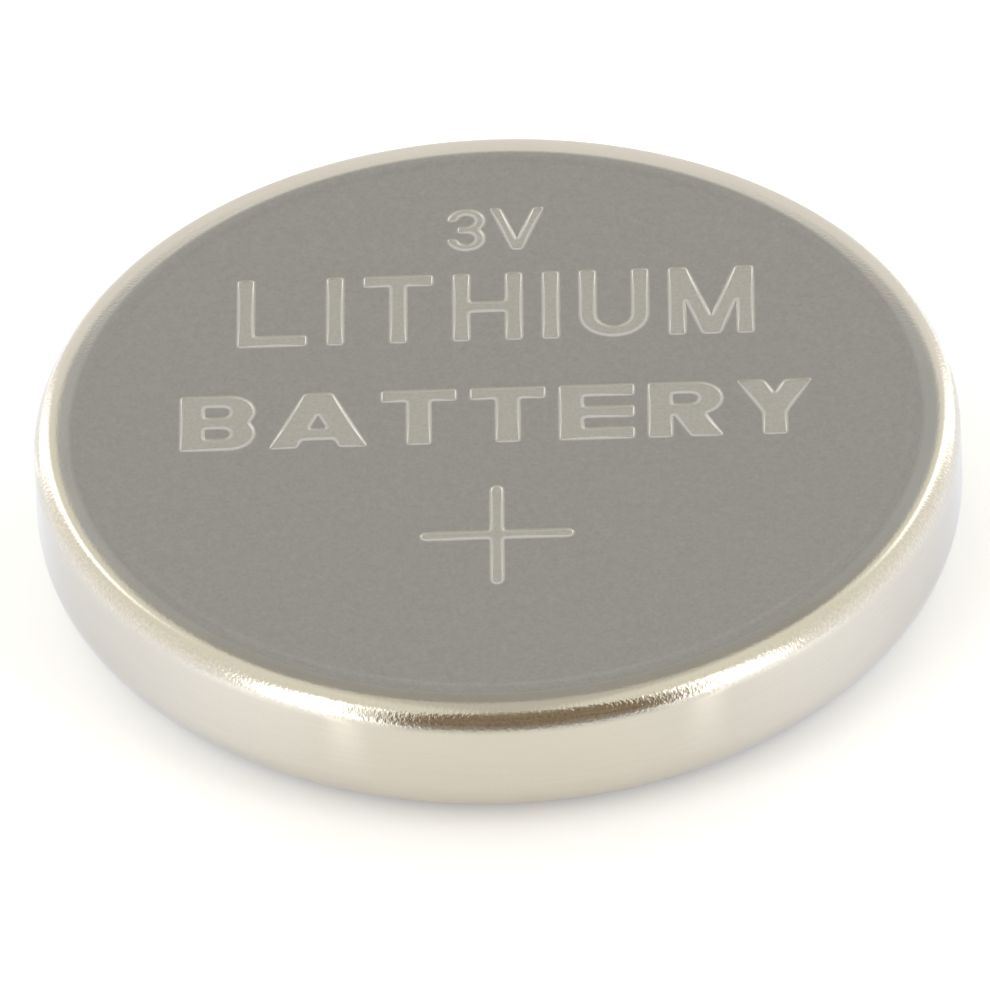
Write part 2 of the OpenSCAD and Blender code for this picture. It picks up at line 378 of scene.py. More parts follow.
def fill(outlines: list[np.ndarray], z: float, frost: float) -> Surface:
    """The flat region that an odd number of the outlines goes round, in triangles.

    The triangulation keeps to the outlines, takes very close corners as one, and is asked only for what
    lies inside.

    Args:
        outlines: Closed outlines that don't cross.
        z: Height of the region.
        frost: Its frost.

    Returns:
        The region, facing up and shaded flat.
    """
    points = np.concatenate(outlines)
    starts = np.cumsum([0] + [len(o) for o in outlines])
    areas = [np.cross(o, np.roll(o, -1, 0)).sum() for o in outlines]
    rings = [list(range(a, b))[::1 if area > 0 else -1]
             for a, b, area in zip(starts, starts[1:], areas)]
    _, _, faces, origin, _, owners = delaunay_2d_cdt([Vector(p) for p in points], [], rings,
                                                     ONLY_INSIDE, SAME_CORNER, True)
    index = np.array([o[0] for o in origin])
    odd = np.array([len(o) % 2 == 1 for o in owners])
    triangles = index[np.array([list(f) for f in faces])][odd]
    a, b, c = (points[triangles[:, k]] for k in range(3))
    triangles = np.where((np.cross(b - a, c - a) > 0)[:, None], triangles, triangles[:, ::-1])
    flat = np.column_stack([points, np.full(len(points), z)])
    return Surface(flat, triangles=triangles, frost=frost, smooth=False)


# Shader expressions


@dataclass(frozen=True)
class Clouds:
    """Cloudy noise: clouds to a millimetre, layers of finer clouds, and how strong each layer is."""

    scale: float
    detail: float = 2.0
    roughness: float = 0.5


class Wire:
    """A socket that can be used in sums: an expression on wires adds its Math nodes."""

    def __init__(self, graph: "Graph", socket: bpy.types.NodeSocket) -> None:
        """Keeps the graph and the socket."""
        self.graph = graph
        self.socket = socket

    def _math(self, operation: str, *values: "Wire | float") -> "Wire":
        """A Math node with these values in its sockets."""
        return self.graph.node("ShaderNodeMath", {"operation": operation}, dict(enumerate(values)))

    def __add__(self, other: "Wire | float") -> "Wire":
        """The sum."""
        return self._math("ADD", self, other)

    def __sub__(self, other: "Wire | float") -> "Wire":
        """The difference."""
        return self._math("SUBTRACT", self, other)

    def __rsub__(self, other: float) -> "Wire":
        """The difference, with the number first."""
        return self._math("SUBTRACT", other, self)

    def __mul__(self, other: "Wire | float") -> "Wire":
        """The product."""
        return self._math("MULTIPLY", self, other)

    __radd__ = __add__
    __rmul__ = __mul__

    def of(self, operation: str, *values: "Wire | float") -> "Wire":
        """Any other Math operation, with this wire first."""
        return self._math(operation, self, *values)

    def step(self, low: "Wire | float", high: "Wire | float") -> "Wire":
        """A smooth step from 0 at low to 1 at high."""
        return self.graph.node("ShaderNodeMapRange", {"interpolation_type": "SMOOTHSTEP"},
                               {0: self, 1: low, 2: high})

    def band(self, low: "Wire | float", high: "Wire | float", soft: float) -> "Wire":
        """1 between low and high, and 0 beyond them, with soft edges that lie half inside."""
        h = soft / 2
        return self.step(low - h, low + h) * (1 - self.step(high - h, high + h))

    def blend(self, low: "Wire | float", high: "Wire | float") -> "Wire":
        """Low where this wire is 0 and high where it is 1."""
        return self.graph.node("ShaderNodeMix", {}, {0: self, 2: low, 3: high})

    def tint(self, low: "Wire | tuple", high: "Wire | tuple") -> "Wire":
        """A colour: low where this wire is 0 and high where it is 1."""
        return self.graph.node("ShaderNodeMix", {"data_type": "RGBA"},
                               {0: self, 6: _opaque(low), 7: _opaque(high)}, out=2)


def _opaque(colour: "Wire | tuple") -> "Wire | tuple":
    """A colour of three numbers with its fourth, or a wire as it is."""
    return (*colour, 1.0) if isinstance(colour, tuple) and len(colour) == 3 else colour


def times(colour: tuple, factors: tuple) -> tuple:
    """A colour whose parts are multiplied by factors."""
    return tuple(c * f for c, f in zip(colour, factors))


class Graph:
    """A node tree that is filled in by expressions."""

    def __init__(self, owner: bpy.types.Material | bpy.types.World) -> None:
        """Empties the owner's tree.

        Args:
            owner: The material or world whose tree is filled in.
        """
        self.owner = owner
        owner.use_nodes = True
        self.tree = owner.node_tree
        self.tree.nodes.clear()

    def node(self, kind: str, settings: dict | None = None, values: dict | None = None,
             out: int | str = 0) -> Wire:
        """Adds a node.

        Args:
            kind: Its type.
            settings: Its own properties, set first.
            values: The value or wire of each of its input sockets, by name or number.
            out: The output socket to hand back.

        Returns:
            The wire of that output.
        """
        node = self.tree.nodes.new(kind)
        for key, value in (settings or {}).items():
            setattr(node, key, value)
        for key, value in (values or {}).items():
            if isinstance(value, Wire):
                self.tree.links.new(value.socket, node.inputs[key])
            else:
                node.inputs[key].default_value = value
        return Wire(self, node.outputs[out] if len(node.outputs) else None)

    def place(self) -> Wire:
        """The point on the piece, in millimetres."""
        spot = self.node("ShaderNodeTexCoord", out="Object")
        return self.node("ShaderNodeVectorMath", {"operation": "SCALE"}, {0: spot, "Scale": 1 / MM})

    def parts(self, vector: Wire) -> tuple[Wire, Wire, Wire]:
        """The three parts of a vector."""
        split = self.node("ShaderNodeSeparateXYZ", values={0: vector})
        return tuple(Wire(self, s) for s in split.socket.node.outputs)

    def stretched(self, vector: Wire, factors: tuple[float, float, float]) -> Wire:
        """A vector times three numbers."""
        return self.node("ShaderNodeVectorMath", {"operation": "MULTIPLY"}, {0: vector, 1: factors})

    def scaled(self, colour: Wire | tuple, factor: Wire) -> Wire:
        """A colour times a number."""
        return self.node("ShaderNodeVectorMath", {"operation": "SCALE"}, {0: colour, "Scale": factor})

    def noise(self, vector: Wire, clouds: Clouds) -> Wire:
        """Noise between 0 and 1."""
        return self.node("ShaderNodeTexNoise", values={
            "Vector": vector, "Scale": clouds.scale, "Detail": clouds.detail, "Roughness": clouds.roughness})

    def shift(self, vector: Wire, clouds: Clouds) -> Wire:
        """Noise between -0.5 and 0.5."""
        return self.noise(vector, clouds) - 0.5

    def bump(self, height: Wire) -> Wire:
        """The normal of a surface that rises by a height in millimetres."""
        return self.node("ShaderNodeBump", values={"Height": height, "Distance": MM, "Strength": 1.0})

    def ray(self, kind: str) -> Wire:
        """1 for rays of a kind, such as Camera or Glossy, and 0 for others."""
        return self.node("ShaderNodeLightPath", out=f"Is {kind} Ray")

    def end(self, values: dict) -> bpy.types.Material:
        """Ends a material's tree in a Principled BSDF.

        Args:
            values: The value or wire of each of its sockets, by name.

        Returns:
            The material.
        """
        shader = self.node("ShaderNodeBsdfPrincipled", values=values)
        self.node("ShaderNodeOutputMaterial", values={"Surface": shader})
        return self.owner


# Finishes


@dataclass(frozen=True)
class CanFinish:
    """Nickel-plated steel: a satin face, a polished rim, and frosted floors in the stamped marks.

    The satin and the frost scatter part of the light in all directions, so they are only partly metallic.
    The slopes of the marks, where the frost is between 0 and 1, are pressed bright, and their lighter colour
    also paints a highlight along the mark edges. Depths are in millimetres, and the other amounts are
    shares of a colour.
    """

    face: tuple = (0.356, 0.339, 0.306)
    cooler: tuple = (0.96, 1.0, 1.04)
    warmer: tuple = (1.04, 1.0, 0.96)
    rim: tuple = (0.66, 0.61, 0.525)
    stamped: tuple = (0.404, 0.385, 0.347)
    # Colour of the pressed slopes, lightened as a painted highlight along the mark edges.
    slope_and_highlight: tuple = (0.625, 0.605, 0.57)
    matt_metal: float = 0.5
    rim_starts: tuple = (9.1, 9.3)
    rim_power: float = 1.4
    slope_power: float = 0.6
    peel_band: tuple = (2.78, 3.125)
    peel_soft: float = 0.1
    mottle: Clouds = Clouds(4.0, 5.0, 0.68)
    warmth: Clouds = Clouds(9.0, 3.0)
    warmth_shape: tuple = (1.0, 1.0, -1.0)
    grain: Clouds = Clouds(13.0, 3.0, 0.7)
    peel: Clouds = Clouds(13.5, 1.0)
    streak: Clouds = Clouds(1.6, 3.0, 0.6)
    streak_shape: tuple = (0.35, 0.35, 9.0)
    face_rough: float = 0.2
    rim_rough: float = 0.12
    stamped_rough: float = 0.42
    slope_rough: float = 0.16
    mottle_rough: float = 0.08
    streak_rough: float = 0.06
    mottle_share: float = 0.17
    grain_share: float = 0.37
    rim_streaks: float = 0.08
    rim_grain: float = 0.05
    rim_peel: float = 0.3
    floor_grain: float = 0.45
    grain_depth: float = 0.0008
    peel_depth: float = 0.0048
    wall_depth: float = 0.0012
    etch_depth: float = 0.003

    def material(self) -> bpy.types.Material:
        """Mixes the three looks by the distance from the axis and by the frost.

        Returns:
            The material.
        """
        g = Graph(bpy.data.materials.new("nickel_plated_can"))
        spot = g.place()
        x, y, z = g.parts(spot)
        reach = (x * x + y * y).of("SQRT")
        frost = g.node("ShaderNodeAttribute", {"attribute_name": "frost"}, out="Fac")
        polish = reach.step(*self.rim_starts)
        mottle = g.shift(spot, self.mottle)
        warmth = g.noise(g.stretched(spot, self.warmth_shape), self.warmth)
        grain = g.noise(spot, self.grain)
        flecks = grain - 0.5
        peel = g.shift(spot, self.peel)
        corner = z.band(*self.peel_band, self.peel_soft)
        streak = g.shift(g.stretched(spot, self.streak_shape), self.streak)
        face = mottle * self.mottle_share + flecks * self.grain_share + 1.0
        face = g.scaled(warmth.tint(times(self.face, self.cooler), times(self.face, self.warmer)), face)
        rim = streak * self.rim_streaks + flecks * self.rim_grain + peel * corner * self.rim_peel + 1.0
        rim = g.scaled(self.rim, rim)
        floor = g.scaled(self.stamped, flecks * self.floor_grain + 1.0)
        # Share of slope across each mark edge: pressed bright and metallic there, and a painted highlight in
        # the colour.
        slope_and_highlight = (frost * (1 - frost) * 4).of("POWER", self.slope_power)
        colour = polish.of("POWER", self.rim_power).tint(face, rim)
        colour = frost.tint(colour, slope_and_highlight.tint(floor, self.slope_and_highlight))
        rough = polish.blend(self.face_rough + mottle * self.mottle_rough,
                             self.rim_rough + streak * self.streak_rough)
        rough = slope_and_highlight.blend(frost.blend(rough, self.stamped_rough), self.slope_rough)
        metal = frost.blend(polish.blend(self.matt_metal, 1.0), slope_and_highlight.blend(self.matt_metal, 1.0))
        height = polish.blend(grain * self.grain_depth,
                              peel * (corner * self.peel_depth + self.wall_depth))
        height = frost.blend(height, grain * self.etch_depth)
        return g.end({"Base Color": colour, "Metallic": metal, "Roughness": rough,
                      "Normal": g.bump(height)})


@dataclass(frozen=True)
class MetalFinish:
    """Bare sheet or soft metal with cloudy grain, and turning marks where it has them."""

    name: str
    colour: tuple
    rough: float
    grain_scale: float
    grain_depth: float
    uneven: float = 0.05
    ring_marks: float = 0.0
    cloud: Clouds = Clouds(0.8)
    turning: Clouds = Clouds(6.0)
    cloud_rough: float = 0.12

    def material(self) -> bpy.types.Material:
        """Mixes grain and clouds in equal parts.

        Returns:
            The material.
        """
        g = Graph(bpy.data.materials.new(self.name))
        spot = g.place()
        x, y, z = g.parts(spot)
        reach = (x * x + y * y).of("SQRT")
        grain = g.noise(spot, Clouds(self.grain_scale, 3.0))
        cloud = g.noise(spot, self.cloud)
        turning = g.noise(g.node("ShaderNodeCombineXYZ", values={0: reach, 2: z}), self.turning)
        colour = (grain * 0.5 + cloud * 0.5).tint(times(self.colour, (1 - self.uneven,) * 3),
                                                  times(self.colour, (1 + self.uneven,) * 3))
        height = grain * self.grain_depth + turning * self.ring_marks
        return g.end({"Base Color": colour, "Metallic": 1.0, "Normal": g.bump(height),
                      "Roughness": self.rough + (cloud - 0.5) * self.cloud_rough})


@dataclass(frozen=True)
class DullFinish:
    """Plastic, pressed powder or cloth: a plain colour with flecks and a fine relief."""

    name: str
    colour: tuple
    fleck: tuple
    rough: float
    grain_scale: float
    grain_depth: float
    fibre: float = 1.0
    fleck_edge: tuple = (0.42, 0.66)
    relief_rough: float = 0.2

    def material(self) -> bpy.types.Material:
        """Crosses two noises, each stretched along one axis where the stuff has fibres.

        Returns:
            The material.
        """
        g = Graph(bpy.data.materials.new(self.name))
        spot = g.place()
        clouds = Clouds(self.grain_scale, 3.0, 0.6)
        grain = g.noise(g.stretched(spot, (1.0, self.fibre, 1.0)), clouds)
        cross = g.noise(g.stretched(spot, (self.fibre, 1.0, 1.0)), clouds)
        relief = grain * 0.5 + cross * 0.5
        return g.end({"Base Color": relief.step(*self.fleck_edge).tint(self.colour, self.fleck),
                      "Roughness": self.rough + (relief - 0.5) * self.relief_rough,
                      "Normal": g.bump(relief * self.grain_depth)})


# The pieces


@dataclass
class PositiveCan:
    """The stamped cup: flat face with marks, rolled rim, wall, and the crimp round its mouth."""

    radius: float = CELL_RADIUS
    height: float = CELL_HEIGHT
    wall: float = SHEET
    land_radius: float = 8.6
    corner_radius: float = 0.48
    inner_radius: float = 0.25
    tilts: tuple = ((8.6, 0.0), (8.78, 0.0), (8.9, -2.6), (9.02, 0.0), (9.11, 0.8), (9.17, 0.9),
                    (9.26, 3.3), (9.43, 4.0), (9.51, 6.0), (9.59, 8.5))
    crimp_radius: float = 1.1
    crimp_z: float = 0.2
    mouth_radius: float = 9.05
    past_mouth: float = 0.6
    lip_edge: float = 0.03
    mark_depth: float = 0.02
    slope_outside: float = 0.04
    slope_inside: float = 0.07
    punch_lean: float = 0.7
    punch_blur: float = 0.06
    slope_rows: int = 6
    roll_rows: int = 62
    corner_rows: int = 26
    crimp_rows: int = 16
    finish: CanFinish = CanFinish()

    def roll_off(self) -> np.ndarray:
        """The top from the flat land to the corner, with its highest point at the cell's height.

        The tilt, in degrees outwards and down, runs evenly from each of the named radii to the next.
        The height falls by the tilt's tangent summed along the radius. Where the tilt is below nought,
        the face rises outwards in a faint ridge.

        Returns:
            Rows of radius and height.
        """
        radius, tilt = np.array(self.tilts).T
        r = np.linspace(radius[0], radius[-1], self.roll_rows)
        fall = np.tan(np.radians(np.interp(r, radius, tilt)))
        drop = np.concatenate([[0], np.cumsum((fall[1:] + fall[:-1]) / 2 * np.diff(r))])
        return np.column_stack([r, self.height + drop.min() - drop])

    def crimp_centre(self) -> tuple[float, float]:
        """Radius and height of the middle of the crimp's arcs."""
        return self.radius - self.crimp_radius, self.crimp_z + self.crimp_radius

    def profile(self) -> np.ndarray:
        """The whole section below the land: roll-off, corner, wall, crimp, lip and inside.

        The corner's arc goes on from the roll-off's tilt until it is upright. The crimp's arc ends at the
        mouth, where the lip joins it to the arc inside.

        Returns:
            Rows of radius and height.
        """
        top = self.roll_off()
        tilt = np.radians(np.linspace(self.tilts[-1][1], 90, self.corner_rows))
        low = top[-1, 1] - self.corner_radius * math.cos(tilt[0])
        corner = np.column_stack([self.radius - self.corner_radius * (1 - np.sin(tilt)),
                                  low + self.corner_radius * np.cos(tilt)])[1:]
        rest = rounded([
            (self.radius, low, 0),
            (self.radius, self.crimp_z, self.crimp_radius),
            (self.mouth_radius - self.past_mouth, self.crimp_z, 0),
        ])
        bottom = rest[rest[:, 0] > self.mouth_radius + self.lip_edge][1:]
        inner = self.crimp_radius - self.wall
        centre_r, centre_z = self.crimp_centre()
        reach = self.mouth_radius - centre_r
        outer_z = centre_z - math.sqrt(self.crimp_radius ** 2 - reach ** 2)
        inner_z = centre_z - math.sqrt(inner ** 2 - reach ** 2)
        start = math.asin((reach + self.lip_edge) / inner)
        inside_crimp = arc((centre_r, centre_z), inner, np.linspace(start, math.pi / 2, self.crimp_rows))
        ceiling = rounded([
            (self.radius - self.wall, centre_z, 0),
            (self.radius - self.wall, self.height - self.wall, self.inner_radius),
            (0, self.height - self.wall, 0),
        ])
        lip = np.array([[self.mouth_radius, outer_z + self.lip_edge],
                        [self.mouth_radius, inner_z - self.lip_edge]])
        return np.concatenate([top, corner, guarded(bottom), lip, inside_crimp, guarded(ceiling[1:])])

    def slopes(self, outline: np.ndarray, land_z: float) -> Surface:
        """The sloping walls of one outline of the marks: a profile carried along it.

        Across the outline the height falls from the land to the floor by the mean of the share of the
        way and its smooth step, and the frost rises with it.

        Args:
            outline: The rounded outline, with the floor on its left.
            land_z: Height of the land.

        Returns:
            The ribbon.
        """
        share = np.linspace(0, 1, self.slope_rows)
        step = (share + share ** 2 * (3 - 2 * share)) / 2
        distances = share * (self.slope_outside + self.slope_inside) - self.slope_outside
        flat = offset(outline, distances, self.punch_lean)
        height = np.broadcast_to((land_z - self.mark_depth * step)[:, None], flat.shape[:2])
        facing_up = net(self.slope_rows, len(outline))[:, [0, 3, 2, 1]]
        return Surface(np.dstack([flat, height]).reshape(-1, 3), facing_up,
                       frost=np.repeat(step, len(outline)))

    def build(self) -> None:
        """Joins the land, the marks and the turned rest into one closed shell."""
        found = stamped_outlines(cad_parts["positive_can"], self.height - self.mark_depth)
        outlines = [soften(o, self.punch_blur) for o in found]
        log.info("stamped marks: %d outlines, %d points, %d after rounding", len(found),
                 sum(len(o) for o in found), sum(len(o) for o in outlines))
        circle = self.land_radius * np.column_stack([np.cos(TURN), np.sin(TURN)])
        upper = [offset(o, np.array([-self.slope_outside]))[0] for o in outlines]
        lower = [offset(o, np.array([self.slope_inside]), self.punch_lean)[0] for o in outlines]
        profile = self.profile()
        land_z = profile[0, 1]
        land = fill([circle, *upper], land_z, 0.0)
        floors = fill(lower, land_z - self.mark_depth, 1.0)
        slopes = [self.slopes(o, land_z) for o in outlines]
        new_piece("can_shell", [land, floors, *slopes, lathe(profile)], "positive_can",
                  self.finish.material())


@dataclass
class NegativeCap:
    """The stepped lid: a flat contact face, a shoulder, and a skirt that the seal wraps."""

    face_radius: float = 8.85
    wall: float = SHEET
    corner_radius: float = 0.4
    shoulder_z: float = 0.8
    fillet_radius: float = 0.1
    skirt_radius: float = 9.35
    bend_radius: float = 0.3
    skirt_top: float = 2.54
    edge: float = 0.03
    finish: MetalFinish = MetalFinish("nickel_plated_cap", (0.62, 0.60, 0.555), rough=0.24, grain_scale=14.0,
                                      grain_depth=0.0012, ring_marks=0.0006)

    def build(self) -> None:
        """Turns the section, which starts inside on the axis and ends on the contact face."""
        t = self.wall
        profile = rounded([
            (0, t, 0),
            (self.face_radius - t, t, self.corner_radius - t),
            (self.face_radius - t, self.shoulder_z + t, self.fillet_radius + t),
            (self.skirt_radius - t, self.shoulder_z + t, self.bend_radius - t),
            (self.skirt_radius - t, self.skirt_top, self.edge),
            (self.skirt_radius, self.skirt_top, self.edge),
            (self.skirt_radius, self.shoulder_z, self.bend_radius),
            (self.face_radius, self.shoulder_z, self.fillet_radius),
            (self.face_radius, 0, self.corner_radius),
            (0, 0, 0),
        ])
        new_piece("cap_shell", [turned(profile)], "negative_cap", self.finish.material())


@dataclass
class Gasket:
    """The moulded seal round the lid's skirt, with a foot under the ceiling and a lip at the mouth.

    It follows the can and the cap at the distance of a film of sealant.
    """

    can: PositiveCan
    cap: NegativeCap
    film: float = 0.01
    foot_radius: float = 8.5
    show_z: float = 0.25
    lip_height: float = 0.2
    seam_height: float = 0.1
    crimp_rows: int = 18
    edge: float = 0.03
    finish: DullFinish = DullFinish("moulded_seal", (0.085, 0.085, 0.092), (0.12, 0.12, 0.125), rough=0.45,
                                    grain_scale=7.0, grain_depth=0.004)

    def build(self) -> None:
        """Turns the closed section: ceiling, wall, crimp arc, lip, then back up along the lid."""
        can, cap, film = self.can, self.cap, self.film
        outer, top = can.radius - can.wall - film, can.height - can.wall - film
        side, skirt, show = cap.face_radius + film, cap.skirt_radius + film, can.mouth_radius - film
        shoulder, foot = cap.shoulder_z - film, cap.skirt_top + film
        seam = foot + self.seam_height
        centre_r, centre_z = can.crimp_centre()
        crimp_radius = can.crimp_radius - can.wall - film
        swing = np.linspace(math.pi / 2, math.asin((show - centre_r) / crimp_radius), self.crimp_rows)
        crimp = arc((centre_r, centre_z), crimp_radius, swing)
        upper = rounded([
            (self.foot_radius, seam, 0),
            (self.foot_radius, top, self.edge),
            (outer, top, can.inner_radius - film),
            (outer, centre_z, 0),
        ])[1:-1]
        lower = rounded([
            (show, self.show_z + self.lip_height, 0),
            (show, self.show_z, self.edge),
            (side, self.show_z, self.edge),
            (side, shoulder, cap.fillet_radius - film),
            (skirt, shoulder, cap.bend_radius + film),
            (skirt, foot, 0),
            (self.foot_radius, foot, self.edge),
            (self.foot_radius, seam, 0),
        ])[1:-1]
        profile = np.concatenate([upper, crimp, lower])
        new_piece("seal_ring", [turned(profile, closed=True)], "gasket",
                  self.finish.material())


class Layer(Enum):
    """The discs that are stacked inside, by their node in the frame."""

    PELLET = "cathode_pellet"
    SEPARATOR = "separator"
    LITHIUM = "lithium_disc"


@dataclass
class Stack:
    """What lies inside: the pressed tablet in its steel ring, the separator and the lithium."""

    can: PositiveCan
    cap: NegativeCap
    pellet_radius: float = 8.0
    ring_lip_radius: float = 7.4
    ring_sheet: float = 0.2
    ring_low: float = 2.05
    pellet_low: float = 1.05
    separator_radius: float = 8.5
    separator_low: float = 0.85
    edge: float = 0.04

    def ceiling(self) -> float:
        """Height of the inside of the can's face."""
        return self.can.height - self.can.wall

    def disc(self, radius: float, low: float, high: float, edge: float) -> np.ndarray:
        """The section of a plain disc with rounded edges."""
        return rounded([(0, high, 0), (radius, high, edge), (radius, low, edge), (0, low, 0)])

    def pellet(self) -> np.ndarray:
        """The tablet's section, with a step under the ring's lip.

        Returns:
            Rows of radius and height.
        """
        top = self.ceiling()
        step = top - self.ring_sheet
        return rounded([(0, top, 0), (self.ring_lip_radius, top, self.edge),
                        (self.ring_lip_radius, step, self.edge / 2), (self.pellet_radius, step, self.edge),
                        (self.pellet_radius, self.pellet_low, self.edge), (0, self.pellet_low, 0)])

    def ring(self) -> np.ndarray:
        """The ring's closed section: a wall with a lip turned in at its top.

        Returns:
            Rows of radius and height.
        """
        top, outer, sharp = self.ceiling(), self.pellet_radius + self.ring_sheet, self.edge / 2
        step = top - self.ring_sheet
        return rounded([(self.ring_lip_radius, top, sharp), (outer, top, self.edge),
                        (outer, self.ring_low, sharp), (self.pellet_radius, self.ring_low, sharp),
                        (self.pellet_radius, step, sharp), (self.ring_lip_radius, step, sharp)], closed=True)

    def build(self) -> None:
        """Turns and dresses each piece of the stack."""
        layers = (
            (Layer.PELLET, self.pellet(), "cathode_mix",
             DullFinish("pressed_cathode_mix", (0.045, 0.045, 0.05), (0.10, 0.10, 0.105),
                        rough=0.78, grain_scale=6.0, grain_depth=0.012)),
            (Layer.SEPARATOR,
             self.disc(self.separator_radius, self.separator_low, self.pellet_low, self.edge),
             "separator_cloth",
             DullFinish("non_woven_cloth", (0.80, 0.80, 0.77), (0.90, 0.90, 0.87),
                        rough=0.85, grain_scale=5.0, grain_depth=0.02, fibre=0.12)),
            (Layer.LITHIUM,
             self.disc(self.pellet_radius, self.cap.wall, self.separator_low, 2 * self.edge),
             "lithium_metal",
             MetalFinish("soft_lithium", (0.60, 0.60, 0.62), rough=0.42, grain_scale=3.0,
                         grain_depth=0.004, uneven=0.09)),
        )
        for layer, section, slot, finish in layers:
            new_piece(layer.name.lower() + "_layer", [turned(section)], layer.value,
                      finish.material())
        steel = MetalFinish("cathode_ring_steel", (0.56, 0.56, 0.55), rough=0.3, grain_scale=10.0,
                            grain_depth=0.001, ring_marks=0.0008)
        new_piece("ring_band", [turned(self.ring(), closed=True)], "cathode_ring",
                  steel.material())


# Surroundings and camera


def bearing_of(x: Wire, y: Wire) -> Wire:
    """Degrees off the front, which is -Y, towards +X."""
    return x.of("ARCTAN2", y * -1) * math.degrees(1)


def grown(away: Wire, pace: float = 0.07) -> Wire:
    """A share that grows from 0 to 1 with the distance, at first by the pace for each millimetre."""
    return 1 - (away * -pace).of("EXPONENT")


@dataclass(frozen=True)
class SoftBox:
    """A tall soft lamp that stands round the table, as a patch of the sky and a painted pool of its light on
    the table.

    Its bearing is at the table's height, and it leans away from the front by so many degrees for each
    degree of elevation. The streak is a narrow painted light on the table that passes by the cell's axis.
    """

    bearing: float
    half_width: float
    top_ends: tuple
    level: float
    lean: float
    spill: float
    streak_off: float = 0.0
    streak: float = 0.0
    soft_side: float = 7.0
    soft_pool: float = 20.0
    soft_streak: float = 0.8
    streak_half: float = 0.5
    streak_grows: tuple = (0.8, 4.8)

    def across(self, bearing: Wire, soft: float) -> Wire:
        """How much of a bearing lies within the box's width."""
        return bearing.band(self.bearing - self.half_width, self.bearing + self.half_width, soft)

    def patch(self, bearing: Wire, rise: Wire) -> Wire:
        """How much of the box lies in a direction."""
        upright = bearing - rise * math.copysign(self.lean, self.bearing)
        return self.across(upright, self.soft_side) * (1 - rise.step(*self.top_ends))

    def pool(self, x: Wire, y: Wire, bearing: Wire, away: Wire) -> Wire:
        """The painted light it adds on the table: a far pool and the streak, which both grow with the
        distance.

        The streak's place is the distance to the line from the axis to the box, towards the front.

        Args:
            x: The point's place along X.
            y: Its place along Y.
            bearing: Its bearing.
            away: Its distance from the cell.

        Returns:
            The light.
        """
        far = self.across(bearing, self.soft_pool) * grown(away) * self.spill
        angle = math.radians(self.bearing)
        aside = (x * math.cos(angle) + y * math.sin(angle)) * -math.copysign(1, self.bearing)
        line = aside.band(self.streak_off - self.streak_half, self.streak_off + self.streak_half,
                          self.soft_streak)
        return far + line * away.step(*self.streak_grows) * self.streak


